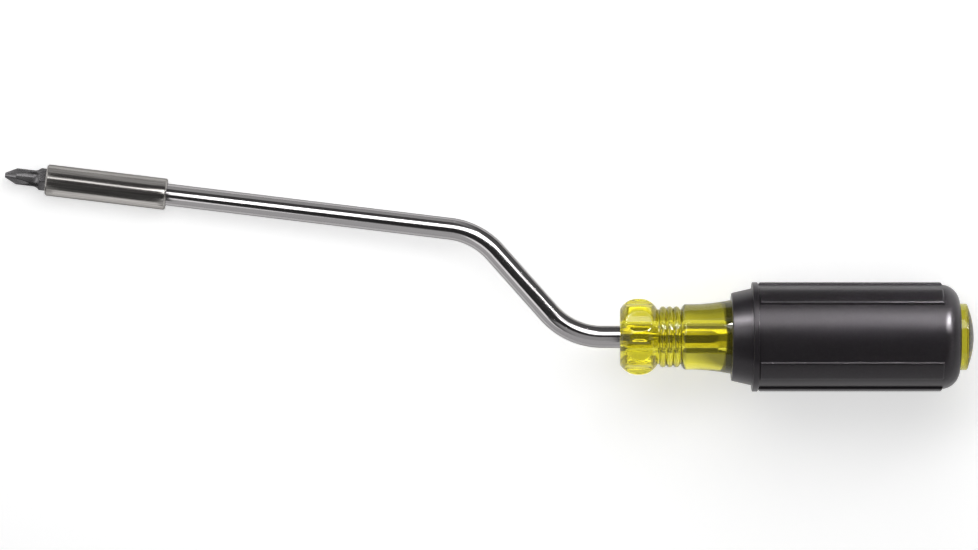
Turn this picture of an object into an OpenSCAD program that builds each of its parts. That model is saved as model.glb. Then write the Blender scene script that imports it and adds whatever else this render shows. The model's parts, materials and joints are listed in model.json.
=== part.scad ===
// Crank-shank speed screwdriver with a reversible bit
// Millimetres. The tool lies on a flat surface, its handle's axis along X, the bit towards -X and +Z up.

/* [Shank] */
// Diameter of the round shank
shank_d = 6.8; // [5:0.1:8]
// From the handle's front face to the corner of the rear bend
shank_lead = 15.3; // [13:0.1:40]
// Angle between the cranked stretch and the handle's axis
crank_angle = 48.4; // [30:0.1:60]
// Length of the cranked stretch, corner to corner
crank_len = 43.2; // [32:0.1:70]
// Angle between the front stretch and the handle's axis
front_tilt = 6.9; // [2:0.1:12]
// From the corner of the front bend to the back of the bit holder
front_len = 96.3; // [40:0.1:200]
// Radius of both bends, at the middle of the rod
bend_r = 22; // [14:0.5:24]
// How much bending thins the rod, on its radius
bend_thinning = 0.02; // [0.01:0.01:0.2]
// How far each straight stretch keeps its full thickness into a bend
bend_lap = 0.4; // [0.2:0.05:0.5]
// Chamfer on the rod's two ends
rod_chamfer = 0.5; // [0.2:0.1:1]

/* [Bit] */
// Size of the hexagon, across its flats
hex_af = 6.35; // [5:0.05:7]
// How much the hexagon's edges are taken off, from corner to corner
hex_edge_trim = 0.18; // [0.1:0.01:0.3]
// Length of the hexagon
hex_len = 16; // [12:0.1:30]
// How much of the hexagon shows outside the holder
hex_show = 1.8; // [0.5:0.1:3]
// Turn of the hexagon about the bit's axis
hex_turn = 19; // [0:1:59]
// Chamfer on the hexagon's ends
hex_chamfer = 0.5; // [0.2:0.1:0.8]
// Length of the cross tip, from its point to the hexagon
cross_len = 10.9; // [9:0.1:25]
// Diameter of the cross tip's round neck
cross_neck_d = 5; // [4:0.1:5.6]
// Diameter of the flat on the cross tip's point
cross_point_d = 1.5; // [1:0.1:2.4]
// Half angle of the cross tip's cone
cross_half_angle = 26.5; // [20:0.5:40]
// Radius of the hollow where the neck runs out into the hexagon
neck_fillet_r = 2.6; // [1:0.1:4]
// Distance from the bit's axis to the bottom of a flute, at the point
flute_root = 0.62; // [0.4:0.02:0.9]
// Radius of the grinding wheel that leaves each flute
flute_wheel_r = 17; // [10:0.5:30]
// Full angle of a flute's V
flute_angle = 92; // [80:1:110]
// Turn of the cross tip's flutes about the bit's axis
flute_turn = 48; // [0:1:89]
// Length of the flat tip, from its edge to the hexagon
blade_len = 11.5; // [9:0.1:25]
// Width of the flat tip
blade_w = 6; // [4:0.1:6.2]
// Thickness of the flat tip at its edge
blade_t = 1; // [0.6:0.1:1.6]
// Half angle of the flat tip's two faces
blade_half_angle = 14; // [8:0.5:20]

/* [Bit holder] */
// Outer diameter of the holder
holder_d = 9.7; // [9.2:0.1:14]
// How deep the shank sits in the holder
shank_seat = 10.8; // [6:0.1:20]
// Room behind the bit's hidden tip
pocket_room = 0.8; // [0.3:0.1:3]
// Play between the hidden tip's edges and the pocket that takes it
pocket_play = 0.25; // [0.1:0.05:0.3]
// Play between the hexagon and its socket, on each flat
hex_play = 0.05; // [0.02:0.01:0.1]
// Play between the hexagon's shoulder and the socket's floor
seat_play = 0.05; // [0.02:0.01:0.2]
// Chamfer on the holder's two outer edges
holder_chamfer = 0.45; // [0.2:0.05:0.8]
// Chamfer round the mouth of the socket
mouth_chamfer = 0.35; // [0.1:0.05:0.5]
// From the holder's mouth to the clip's groove
clip_depth = 4; // [2:0.1:8]
// Width of the spring clip
clip_w = 0.9; // [0.5:0.1:1.5]
// Thickness of the spring clip
clip_t = 0.55; // [0.3:0.05:0.6]
// Gap between the ends of the spring clip, in degrees
clip_gap = 40; // [20:1:90]
// Play between the clip and the hexagon's edges, and round the clip in its groove
clip_play = 0.03; // [0.02:0.01:0.1]

/* [Handle core] */
// Diameter of the ball at the front
ball_d = 23.4; // [22:0.1:26]
// Radius of the ball's rounded edges
ball_round = 6; // [5.4:0.1:6.4]
// From the handle's front face to the crown of the ball
ball_crown_x = 5.3; // [4:0.1:5.3]
// Straight length of the ball's crown
ball_crown_len = 1; // [0.2:0.1:4]
// How many finger scallops go round the ball
scallop_count = 8; // [5:1:9]
// Depth of a scallop
scallop_depth = 1.2; // [0.4:0.1:1.6]
// Radius of a scallop
scallop_r = 7.4; // [4:0.1:12]
// Turn of the scallops about the handle's axis
scallop_turn = 3.5; // [-22:0.5:22]
// Diameter of the neck behind the ball
neck_d = 17; // [14:0.1:18]
// How many rings go round the neck
ring_count = 3; // [1:1:6]
// Diameter over the rings
ring_d = 18.9; // [18.2:0.1:20]
// Radius of a ring's round back
ring_r = 1.1; // [0.6:0.05:1.2]
// From one ring to the next
ring_pitch = 2.08; // [1.6:0.02:3]
// From the ball to the middle of the first ring
ring_start = 1.64; // [1.2:0.02:4]
// From the middle of the last ring to the waist
waist_start = 1.5; // [1:0.1:4]
// Smallest diameter of the waist
waist_d = 20.2; // [19:0.1:22]
// Chamfer on the front edge of the waist
waist_chamfer = 1; // [0.4:0.1:1.5]
// Radius of the hollow curve that widens the waist towards the grip
waist_curve_r = 65; // [40:1:150]
// From the front of the waist to its narrowest point
waist_low_x = 2.1; // [1:0.1:6]
// Length of the waist, to the grip's front edge
waist_len = 15.4; // [10:0.1:20]
// Play between the shank and the bore that it turns in
bore_play = 0.05; // [0.02:0.01:0.1]
// How many flutes key the core into the grip
key_count = 6; // [3:1:8]
// Radius of a keying flute
key_r = 3; // [2:0.1:4]
// Depth of a keying flute
key_depth = 1; // [0.5:0.1:1.5]
// From the grip's front edge to the start of the keying flutes
key_start = 5; // [2:0.5:12]
// Thickness of the grip's rear lip behind the core's shoulder
rear_lip = 3.5; // [2:0.1:5]

/* [Cushion grip] */
// Length of the grip
grip_len = 70.25; // [60:0.05:110]
// Diameter of the plain panels
panel_d = 32.2; // [30:0.1:36]
// Height of the gripping pads over the panels
pad_height = 0.72; // [0.3:0.02:1.5]
// Height of the front band over the pads
band_step = 0.05; // [0.02:0.01:0.5]
// Width of the front band
band_w = 1.7; // [1:0.1:5]
// Length of the conical collar
collar_len = 6.35; // [3:0.05:12]
// Diameter of the collar at its front edge
collar_front_d = 27.1; // [26:0.1:29]
// Diameter of the collar where it meets the band
collar_rear_d = 30; // [29:0.1:32]
// How many places for a pad go round the grip
pad_places = 8; // [6:2:12]
// Share of each place that its pad fills
pad_share = 0.533; // [0.3:0.001:0.8]
// How many plain panels take the place of a pad
panel_count = 2; // [1:1:2]
// Turn of the panels about the handle's axis
panel_turn = 5.6; // [-22:0.1:22]
// How far the pads run past the start of the rear rounding
pad_overrun = 0.3; // [0:0.05:1]

/* [Butt cap and bearing] */
// Diameter of the butt
butt_d = 20.6; // [17:0.1:22]
// Straight height of the butt
butt_h = 2.25; // [1:0.05:6]
// Radius of the butt's dome
butt_dome_r = 26; // [14:0.5:80]
// Diameter of the hollow behind the bearing
hollow_d = 14; // [12.5:0.1:15]
// From the core's rear end to the floor of the hollow
hollow_depth = 26.5; // [20:0.1:40]
// Play between the cap's spigot and the hollow, filled by cement
cement_play = 0.05; // [0.02:0.01:0.1]
// Play between the washer and the hollow
washer_gap = 0.5; // [0.1:0.05:0.6]
// Thickness of the washer
washer_t = 1; // [0.5:0.1:2]
// Play round the shank in the washer
washer_play = 0.25; // [0.1:0.05:0.5]
// How far the retaining ring stands out round the shank
retainer_rim = 2.1; // [1:0.1:2.2]
// Thickness of the retaining ring
retainer_t = 0.9; // [0.5:0.1:1.5]
// Depth of the retaining ring's groove in the shank
retainer_groove = 0.8; // [0.4:0.1:1.2]
// Radius of the two hollows that let the retaining ring spring open
retainer_relief_r = 1.2; // [0.8:0.1:1.4]
// Length of shank behind the retaining ring
shank_tail = 4; // [2:0.1:8]
// End play of the shank
end_play = 0.1; // [0.05:0.01:0.3]
// Play between the hollow and the steel disc that the shank's end bears on
disc_gap = 0.3; // [0.1:0.05:1]
// Thickness of the steel disc
disc_t = 2; // [1:0.1:3]

/* [Hidden] */
$fn = 64;
// How far a cutting shape reaches past the face that it opens
cut = 1;
flute_count = 4;
// Angle from the retaining ring's open side to each of its hollows
retainer_relief_angle = 120;
shank_r = shank_d / 2;
holder_r = holder_d / 2;

// Lengths along the front stretch, measured from its bend corner towards the point
socket_depth = hex_len - hex_show;
pocket_len = blade_len + pocket_room;
pocket_d = blade_w + 2 * pocket_play;
holder_len = shank_seat + pocket_len + socket_depth;
hex_at = front_len + shank_seat + pocket_len;
mouth_at = front_len + holder_len;
point_at = hex_at + seat_play + hex_len + cross_len;

// The hexagon and its clip
hex_corner_d = hex_af / cos(30) - hex_edge_trim;
clip_inner_r = hex_corner_d / 2 + clip_play;
clip_outer_r = clip_inner_r + clip_t;

// Places along the handle's axis, measured from its front face
ball_edge_r = ball_d / 2 - ball_round;
ball_end = ball_crown_x + ball_crown_len + sqrt(pow(ball_round, 2) - pow(neck_d / 2 - ball_edge_r, 2));
first_ring_at = ball_end + ring_start;
last_ring_at = first_ring_at + (ring_count - 1) * ring_pitch;
waist_at = last_ring_at + waist_start;
grip_at = waist_at + waist_len;
grip_end = grip_at + grip_len;
core_shoulder_at = grip_end - rear_lip;
hollow_at = grip_end - hollow_depth;
retainer_at = hollow_at + washer_t + end_play;
shank_end = retainer_at + retainer_t + shank_tail;
disc_at = shank_end + end_play;
spigot_at = disc_at + disc_t;

// What sits in the hollow behind the bearing
washer_d = hollow_d - 2 * washer_gap;
disc_d = hollow_d - 2 * disc_gap;
retainer_d = shank_d + 2 * retainer_rim;
retainer_groove_r = shank_r - retainer_groove;

// Radii of the handle
waist_r = waist_d / 2;
barrel_r = waist_r + waist_curve_r - sqrt(pow(waist_curve_r, 2) - pow(waist_len - waist_low_x, 2));
butt_r = butt_d / 2;
panel_r = panel_d / 2;
pad_r = panel_r + pad_height;
band_r = pad_r + band_step;
rear_round = panel_r - butt_r;
pads_at = grip_at + collar_len + band_w;
pads_end = grip_end - rear_round + pad_overrun;
pad_pitch = 360 / pad_places;
dome_h = butt_dome_r - sqrt(pow(butt_dome_r, 2) - pow(butt_r, 2));
butt_end = grip_end + butt_h + dome_h;

// The bend plane: X along the handle's axis, Y along the crank's offset
rear_corner = [-shank_lead, 0];
front_corner = rear_corner + crank_len * [-cos(crank_angle), sin(crank_angle)];
front_turn = crank_angle - front_tilt;
rear_tangent = bend_r * tan(crank_angle / 2);
front_tangent = bend_r * tan(front_turn / 2);

// How the tool lies: on the grip's band and on the front edge of the bit holder
rim_at = mouth_at - holder_chamfer;
rim_offset = front_corner[1] + rim_at * sin(front_tilt);
lay_angle = asin((band_r - holder_r) / rim_offset);
far_y = rim_offset * cos(lay_angle) + holder_r * sqrt(1 - pow(sin(front_tilt) * cos(lay_angle), 2));
near_x = front_corner[0] - point_at * cos(front_tilt) - cross_point_d / 2 * sin(front_tilt);
mid_x = (near_x + butt_end) / 2;
mid_y = (far_y - band_r) / 2;

acetate = [0.86, 0.82, 0.16];
rubber = [0.16, 0.15, 0.17];
chrome = [0.78, 0.78, 0.8];
satin_steel = [0.62, 0.61, 0.59];
bit_steel = [0.33, 0.33, 0.34];
spring_steel = [0.45, 0.45, 0.48];

// Lays what is drawn in the bend plane on the resting surface, with the origin under the middle of the tool
module laid() {
    translate([-mid_x, -mid_y, band_r])
        rotate([-lay_angle, 0, 0])
            children();
}

// Turns a shape drawn along Z onto the handle's axis; its X becomes the crank's offset, its Y the upper side
module along_handle() {
    laid()
        rotate([90, 0, 90])
            children();
}

// Turns a shape drawn along Z so that Z runs towards the bit and X along the crank's offset
module bitward() {
    rotate([-90, 0, 0])
        rotate([0, -90, 0])
            children();
}

// Puts a shape drawn along Z on the front stretch, with Z = 0 at its bend corner
module along_front() {
    laid()
        translate([front_corner[0], front_corner[1], 0])
            rotate([0, 0, -front_tilt])
                bitward()
                    children();
}

// Straight stretch of the rod along Z with a chamfer at Z = 0
module chamfered_end(h) {
    rotate_extrude()
        polygon([[0, 0], [shank_r - rod_chamfer, 0], [shank_r, rod_chamfer], [shank_r, h], [0, h]]);
}

// Bend of the rod from the origin along Z towards X
module rod_bend(angle) {
    translate([bend_r, 0, 0])
        rotate([90, 0, 180])
            rotate_extrude(angle = angle)
                translate([bend_r, 0])
                    circle(r = shank_r - bend_thinning);
}

// Moves on to the end of such a bend
module past_bend(angle) {
    translate([bend_r * (1 - cos(angle)), 0, bend_r * sin(angle)])
        rotate([0, angle, 0])
            children();
}

// Half profile of the core: radius along X, distance from the front face along Y
module core_profile() {
    // Ball with a flat front face
    intersection() {
        union() {
            for (crown = [ball_crown_x, ball_crown_x + ball_crown_len])
                translate([ball_edge_r, crown])
                    circle(r = ball_round);
            translate([0, ball_crown_x])
                square([ball_d / 2, ball_crown_len]);
            square([ball_edge_r, ball_end]);
        }
        square([ball_d, ball_end + ring_start]);
    }
    // Neck and its rings
    translate([0, ball_crown_x])
        square([neck_d / 2, waist_at - ball_crown_x + cut]);
    for (i = [0 : ring_count - 1])
        translate([ring_d / 2 - ring_r, first_ring_at + i * ring_pitch])
            circle(r = ring_r);
    // Waist that widens in a hollow curve
    difference() {
        translate([0, waist_at])
            square([barrel_r, waist_len]);
        translate([waist_r + waist_curve_r, waist_at + waist_low_x])
            circle(r = waist_curve_r);
        translate([waist_r, waist_at])
            rotate(45)
                square(waist_chamfer * sqrt(2), center = true);
    }
    // Barrel inside the grip and the tail behind its shoulder
    translate([0, grip_at])
        square([barrel_r, core_shoulder_at - grip_at]);
    translate([0, grip_at])
        square([butt_r, grip_len]);
}

// Outside of the core, with the finger scallops and the flutes that key it into the grip
module core_body() {
    difference() {
        rotate_extrude()
            core_profile();
        for (i = [0 : scallop_count - 1])
            rotate(90 - scallop_turn + (i + 0.5) * 360 / scallop_count)
                translate([ball_d / 2 - scallop_depth + scallop_r, 0, -cut])
                    cylinder(h = ball_end + cut, r = scallop_r);
        for (i = [0 : key_count - 1])
            rotate(i * 360 / key_count)
                translate([barrel_r - key_depth + key_r, 0, grip_at + key_start])
                    cylinder(h = grip_len, r = key_r);
    }
}

module handle_core() {
    color(acetate)
        along_handle()
            difference() {
                core_body();
                translate([0, 0, -cut])
                    cylinder(h = grip_end, r = shank_r + bore_play);
                translate([0, 0, hollow_at])
                    cylinder(h = hollow_depth + cut, d = hollow_d);
            }
}

// Half profile of the grip's outside without its pads
module grip_profile() {
    translate([0, grip_at])
        polygon([
            [0, 0], [collar_front_d / 2, 0],
            [collar_rear_d / 2, collar_len], [0, collar_len]
        ]);
    translate([0, grip_at + collar_len])
        square([band_r, band_w]);
    translate([0, pads_at])
        square([panel_r, grip_end - rear_round - pads_at]);
    intersection() {
        translate([butt_r, grip_end - rear_round])
            circle(r = rear_round);
        translate([0, grip_end - rear_round])
            square([panel_r, rear_round]);
    }
    translate([0, grip_end - rear_round])
        square([butt_r, rear_round]);
}

// One gripping pad, centred on +X
module grip_pad() {
    half = pad_pitch * pad_share / 2;
    reach = 2 * pad_r;
    translate([0, 0, pads_at])
        linear_extrude(pads_end - pads_at)
            intersection() {
                circle(r = pad_r);
                polygon([[0, 0], reach * [cos(half), -sin(half)], reach * [cos(half), sin(half)]]);
            }
}

module cushion_grip() {
    panel_every = pad_places / panel_count;
    color(rubber)
        along_handle()
            difference() {
                union() {
                    rotate_extrude()
                        grip_profile();
                    for (i = [0 : pad_places - 1])
                        if (i % panel_every != 0)
                            rotate(90 - panel_turn + i * pad_pitch)
                                grip_pad();
                }
                core_body();
            }
}

module butt_cap() {
    color(acetate)
        along_handle()
            rotate_extrude() {
                intersection() {
                    translate([0, butt_end - butt_dome_r])
                        circle(r = butt_dome_r);
                    translate([0, grip_end])
                        square([butt_r, butt_h + dome_h]);
                }
                translate([0, spigot_at])
                    square([hollow_d / 2 - cement_play, grip_end + butt_h - spigot_at]);
            }
}

module thrust_washer() {
    color(spring_steel)
        along_handle()
            translate([0, 0, hollow_at])
                difference() {
                    cylinder(h = washer_t, d = washer_d);
                    translate([0, 0, -cut])
                        cylinder(h = washer_t + 2 * cut, r = shank_r + washer_play);
                }
}

module thrust_disc() {
    color(spring_steel)
        along_handle()
            translate([0, 0, disc_at])
                cylinder(h = disc_t, d = disc_d);
}

module bent_shank() {
    rear_straight = shank_end + shank_lead - rear_tangent;
    crank_straight = crank_len - rear_tangent - front_tangent;
    front_straight = front_len + shank_seat - front_tangent;
    color(chrome)
        laid()
            difference() {
                translate([shank_end, 0, 0])
                    bitward() {
                        chamfered_end(rear_straight + bend_lap);
                        translate([0, 0, rear_straight]) {
                            rod_bend(crank_angle);
                            past_bend(crank_angle) {
                                translate([0, 0, -bend_lap])
                                    cylinder(h = crank_straight + 2 * bend_lap, r = shank_r);
                                translate([0, 0, crank_straight])
                                    rotate(180) {
                                        rod_bend(front_turn);
                                        past_bend(front_turn)
                                            translate([0, 0, front_straight])
                                                rotate([180, 0, 0])
                                                    chamfered_end(front_straight + bend_lap);
                                    }
                            }
                        }
                    }
                // Groove for the retaining ring
                rotate([90, 0, 90])
                    translate([0, 0, retainer_at])
                        difference() {
                            cylinder(h = retainer_t, d = shank_d + cut);
                            cylinder(h = retainer_t, r = retainer_groove_r);
                        }
            }
}

// Spring ring with an open side and two hollows, pushed into its groove from the side
module retaining_ring() {
    color(spring_steel)
        along_handle()
            translate([0, 0, retainer_at])
                linear_extrude(retainer_t)
                    difference() {
                        circle(d = retainer_d);
                        circle(r = retainer_groove_r);
                        translate([0, -retainer_groove_r])
                            square([retainer_d, 2 * retainer_groove_r]);
                        for (side = [-1, 1])
                            rotate(side * retainer_relief_angle)
                                translate([retainer_groove_r, 0])
                                    circle(r = retainer_relief_r);
                    }
}

module hex_prism(h, af) {
    rotate(hex_turn)
        cylinder(h = h, d = af / cos(30), $fn = 6);
}

module bit_holder() {
    mouth_d = hex_af / cos(30) + 2 * hex_play;
    color(satin_steel)
        along_front()
            translate([0, 0, front_len])
                difference() {
                    rotate_extrude()
                        polygon([
                            [0, 0], [holder_r - holder_chamfer, 0], [holder_r, holder_chamfer],
                            [holder_r, holder_len - holder_chamfer],
                            [holder_r - holder_chamfer, holder_len], [0, holder_len]
                        ]);
                    translate([0, 0, -cut])
                        cylinder(h = shank_seat + cut, r = shank_r);
                    translate([0, 0, shank_seat - cut])
                        cylinder(h = pocket_len + 2 * cut, d = pocket_d);
                    translate([0, 0, shank_seat + pocket_len])
                        hex_prism(socket_depth + cut, hex_af + 2 * hex_play);
                    translate([0, 0, holder_len - mouth_chamfer])
                        cylinder(
                            h = 2 * mouth_chamfer,
                            d1 = mouth_d - 2 * mouth_chamfer,
                            d2 = mouth_d + 2 * mouth_chamfer
                        );
                    translate([0, 0, holder_len - clip_depth - clip_w - clip_play])
                        cylinder(h = clip_w + 2 * clip_play, r = clip_outer_r + clip_play);
                }
}

// Split spring ring that the hexagon's edges hold open
module bit_clip() {
    color(spring_steel)
        along_front()
            translate([0, 0, mouth_at - clip_depth - clip_w])
                rotate_extrude(angle = 360 - clip_gap)
                    translate([clip_inner_r, 0])
                        square([clip_t, clip_w]);
}

// Half profile of the bit, from the flat tip's edge along Y to the cross tip's point
module bit_profile() {
    hex_r = hex_corner_d / 2;
    neck_r = cross_neck_d / 2;
    hex_top = blade_len + hex_len;
    point_top = hex_top + cross_len;
    cone_len = (cross_neck_d - cross_point_d) / 2 / tan(cross_half_angle);
    fillet_rise = hex_r - neck_r;
    fillet_len = sqrt(pow(neck_fillet_r, 2) - pow(neck_fillet_r - fillet_rise, 2));
    square([blade_w / 2, blade_len + hex_chamfer]);
    polygon([
        [0, blade_len], [hex_r - hex_chamfer, blade_len], [hex_r, blade_len + hex_chamfer],
        [hex_r, hex_top], [0, hex_top]
    ]);
    difference() {
        translate([0, hex_top - cut])
            square([hex_r, fillet_len + cut]);
        translate([neck_r + neck_fillet_r, hex_top + fillet_len])
            circle(r = neck_fillet_r);
    }
    translate([0, hex_top])
        polygon([
            [0, 0], [neck_r, 0], [neck_r, cross_len - cone_len],
            [cross_point_d / 2, cross_len], [0, cross_len]
        ]);
}

// V-rimmed wheel that leaves one flute of the cross tip, centred level with the point
module flute_wheel() {
    rim = 2 * cross_neck_d;
    half_w = rim * tan(flute_angle / 2);
    translate([flute_root + flute_wheel_r, 0, 0])
        rotate([90, 0, 0])
            rotate_extrude()
                polygon([
                    [flute_wheel_r, 0],
                    [flute_wheel_r - rim, half_w],
                    [flute_wheel_r - rim, -half_w]
                ]);
}

module reversible_bit() {
    bit_len = blade_len + hex_len + cross_len;
    color(bit_steel)
        along_front()
            translate([0, 0, hex_at + seat_play - blade_len])
                difference() {
                    intersection() {
                        rotate_extrude()
                            bit_profile();
                        hex_prism(bit_len, hex_af);
                    }
                    for (i = [0 : flute_count - 1])
                        rotate(flute_turn + i * 360 / flute_count)
                            translate([0, 0, bit_len])
                                flute_wheel();
                    // Two faces of the flat tip
                    for (side = [0, 180])
                        rotate([0, 0, hex_turn + side])
                            translate([0, blade_t / 2, 0])
                                rotate([-blade_half_angle, 0, 0])
                                    translate([-hex_af, 0, -hex_af])
                                        cube([2 * hex_af, hex_af, blade_len + hex_af - hex_chamfer]);
                }
}

handle_core();
cushion_grip();
butt_cap();
thrust_washer();
thrust_disc();
bent_shank();
retaining_ring();
bit_holder();
bit_clip();
reversible_bit();
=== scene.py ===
"""Looks of a bent-shank multi-bit screwdriver, built round its CAD frame. Lengths are metres."""

import json
import math

import bmesh
import bpy
from bpy.props import FloatProperty, FloatVectorProperty, IntProperty, PointerProperty
from mathutils import Matrix, Vector


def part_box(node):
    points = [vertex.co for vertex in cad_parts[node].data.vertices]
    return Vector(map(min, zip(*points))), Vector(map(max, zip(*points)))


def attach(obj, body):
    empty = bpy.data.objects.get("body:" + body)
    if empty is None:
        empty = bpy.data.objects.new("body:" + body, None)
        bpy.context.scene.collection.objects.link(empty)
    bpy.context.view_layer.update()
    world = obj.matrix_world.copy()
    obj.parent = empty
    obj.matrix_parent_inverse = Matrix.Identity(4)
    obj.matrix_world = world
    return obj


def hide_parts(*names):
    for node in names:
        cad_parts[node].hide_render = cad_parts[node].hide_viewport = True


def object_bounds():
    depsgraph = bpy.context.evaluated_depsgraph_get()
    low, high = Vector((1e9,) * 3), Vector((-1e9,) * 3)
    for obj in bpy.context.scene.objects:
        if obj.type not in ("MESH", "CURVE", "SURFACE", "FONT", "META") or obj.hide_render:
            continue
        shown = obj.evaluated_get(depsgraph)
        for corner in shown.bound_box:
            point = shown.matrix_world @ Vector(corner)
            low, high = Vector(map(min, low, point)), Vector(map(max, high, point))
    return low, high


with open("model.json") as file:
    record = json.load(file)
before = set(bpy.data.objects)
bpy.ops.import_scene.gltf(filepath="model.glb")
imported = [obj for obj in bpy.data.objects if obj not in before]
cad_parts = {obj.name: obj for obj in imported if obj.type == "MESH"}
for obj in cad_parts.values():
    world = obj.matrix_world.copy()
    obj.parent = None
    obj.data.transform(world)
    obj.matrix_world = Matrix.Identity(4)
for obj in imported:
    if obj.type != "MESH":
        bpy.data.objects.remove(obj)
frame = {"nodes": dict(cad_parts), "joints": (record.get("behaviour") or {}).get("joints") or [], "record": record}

bl_info = {
    "name": "Bent-shank Screwdriver",
    "version": (1, 0, 0),
    "blender": (4, 5, 0),
    "location": "View3D > Sidebar > Screwdriver",
    "description": "Models and finishes a bent-shank screwdriver with a reversible bit",
    "category": "Object",
}

MM = 0.001
# Share of the light that the tool's steel still throws back at a glancing angle
GRAZING_TINT = (0.35, 0.35, 0.35, 1)
WHITE = (1, 1, 1, 1)
FULL_TURN = 2 * math.pi
HEX_TURN = math.pi / 3
CAD_BOX = [list(corner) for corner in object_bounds()]

# Points closer than this are one point
WELD = 0.0005 * MM
# Room between skins that touch in the real tool, so that no two lie on the same place
SKIN_GAP = 0.03 * MM

JOINTS = {joint["name"]: joint for joint in frame["joints"]}
MOUNTS = {mount["name"]: mount for mount in frame["record"]["mounts"]}

# The handle's axis runs to the butt, and the front axis runs to the bit's point
HANDLE_FRONT = Vector(JOINTS["shank_spin"]["pos_m"])
HANDLE_AXIS = Vector(JOINTS["shank_spin"]["axis"])
FRONT_AXIS = Vector(JOINTS["bit_pull"]["axis"]).normalized()
HOLDER_MIDDLE = Vector(MOUNTS["holder_barrel"]["pos_m"])
HOLDER_MOUTH = Vector(MOUNTS["bit_socket"]["pos_m"])
BIT_POINT = Vector(MOUNTS["driver_tip"]["pos_m"])
HOLDER_R = MOUNTS["holder_barrel"]["dims"]["r_mm"] * MM
HOLDER_LEN = 2 * (HOLDER_MOUTH - HOLDER_MIDDLE).length

# The crank leads away from the handle on one side; the upper side faces the camera
OFFSET = HOLDER_MOUTH - HANDLE_FRONT
CRANK_SIDE = (OFFSET - OFFSET.dot(HANDLE_AXIS) * HANDLE_AXIS).normalized()
UPPER_SIDE = HANDLE_AXIS.cross(CRANK_SIDE)


def seat(origin, side, along):
    """Matrix that puts a shape drawn along Z on an axis, with its X along the given side."""
    turn = Matrix((side, along.cross(side), along)).transposed()
    return Matrix.Translation(origin) @ turn.to_4x4()


def handle_reach(node):
    """First and last place of a CAD node along the handle's axis, from the handle's front face."""
    low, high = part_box(node)
    return (low - HANDLE_FRONT).dot(HANDLE_AXIS), (high - HANDLE_FRONT).dot(HANDLE_AXIS)


HANDLE_SEAT = seat(HANDLE_FRONT, CRANK_SIDE, HANDLE_AXIS)
FRONT_SIDE = FRONT_AXIS.cross(UPPER_SIDE).normalized()
HOLDER_SEAT = seat(HOLDER_MOUTH - HOLDER_LEN * FRONT_AXIS, FRONT_SIDE, FRONT_AXIS)

GRIP_AT, GRIP_END = handle_reach("cushion_grip")
BUTT_END = handle_reach("butt_cap")[1]
HOLLOW_AT = handle_reach("thrust_washer")[0]
RETAINER_AT, RETAINER_END = handle_reach("retaining_ring")
SHANK_END = handle_reach("bent_shank")[1]
SPIGOT_AT = handle_reach("thrust_disc")[1]


def length(name, description, millimetres):
    """Length property with its default in millimetres."""
    return FloatProperty(
        name=name, description=description, default=millimetres * MM, unit="LENGTH", precision=5
    )


def angle(name, description, degrees):
    """Angle property with its default in degrees."""
    return FloatProperty(
        name=name, description=description, default=math.radians(degrees), subtype="ANGLE"
    )


def count(name, description, default):
    """Whole number of things that repeat."""
    return IntProperty(name=name, description=description, default=default, min=1)


def tint(name, description, default):
    """Colour property in linear light."""
    return FloatVectorProperty(
        name=name, description=description, default=default, subtype="COLOR", min=0, max=1
    )


def amount(name, description, default):
    """Plain number property."""
    return FloatProperty(name=name, description=description, default=default)


class CoreSettings(bpy.types.PropertyGroup):
    """Clear core of the handle and the cap at its butt."""

    ball_d: length("Ball diameter", "Widest part of the ball at the front", 23.4)
    ball_round: length("Ball rounding", "Radius that the ball's profile turns with", 6)
    crown_at: length("Crown place", "Where the ball's straight crown starts", 5.3)
    crown_len: length("Crown length", "Straight stretch at the ball's widest part", 1)
    scallop_count: count("Scallops", "Finger scallops round the ball", 8)
    scallop_depth: length("Scallop depth", "Depth of a scallop at its middle", 1.2)
    scallop_r: length("Scallop radius", "Radius of the cutter of a scallop", 7.4)
    scallop_turn: angle("Scallop turn", "Turn of the scallops about the handle", 3.5)
    scallop_edge: length("Scallop edge", "Width of the softened edge of a scallop", 0.3)
    neck_d: length("Neck diameter", "Neck between the ball and the waist", 17)
    ring_count: count("Rings", "Rings on the neck", 3)
    ring_d: length("Ring diameter", "Outer diameter of a ring", 18.9)
    ring_r: length("Ring rounding", "Radius of a ring's profile", 1.1)
    ring_pitch: length("Ring pitch", "Distance from ring to ring", 2.08)
    ring_start: length("Ring start", "Distance from the ball to the first ring's middle", 1.64)
    waist_start: length("Waist start", "Distance from the last ring's middle to the waist", 1.5)
    waist_d: length("Waist diameter", "Narrowest part of the waist", 20.2)
    waist_low: length("Waist low point", "Distance from the waist's front to its narrowest place", 2.1)
    waist_curve_r: length("Waist curve", "Radius of the waist's hollow curve", 65)
    waist_chamfer: length("Waist chamfer", "Chamfer at the front of the waist", 1)
    key_count: count("Keys", "Flutes that key the core into the grip", 6)
    key_r: length("Key radius", "Radius of a flute", 3)
    key_depth: length("Key depth", "Depth of a flute", 1)
    key_start: length("Key start", "Distance from the grip's front to the flutes", 5)
    bore_play: length("Bore play", "Room between the bore and the shank", 0.05)
    hollow_d: length("Hollow diameter", "Hollow in the core for the end bearing", 14)
    rear_lip: length("Rear lip", "Length of the grip's lip behind the core's shoulder", 3.5)
    butt_d: length("Butt diameter", "Diameter of the cap at the butt", 20.6)
    butt_h: length("Butt height", "Straight side of the cap behind the grip", 2.25)
    cement_play: length("Cement play", "Room round the cap's spigot", 0.05)
    edge_round: length("Edge rounding", "Rounding of the moulded edges", 0.35)
    surface_tint: tint("Surface tint", "Tint of light that passes the surface", (0.86, 0.81, 0.11))
    depth_tint: tint("Depth tint", "Colour that deep plastic takes", (0.88, 0.85, 0.07))
    density: amount("Depth density", "How fast light takes the depth colour, per metre", 50)


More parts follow.
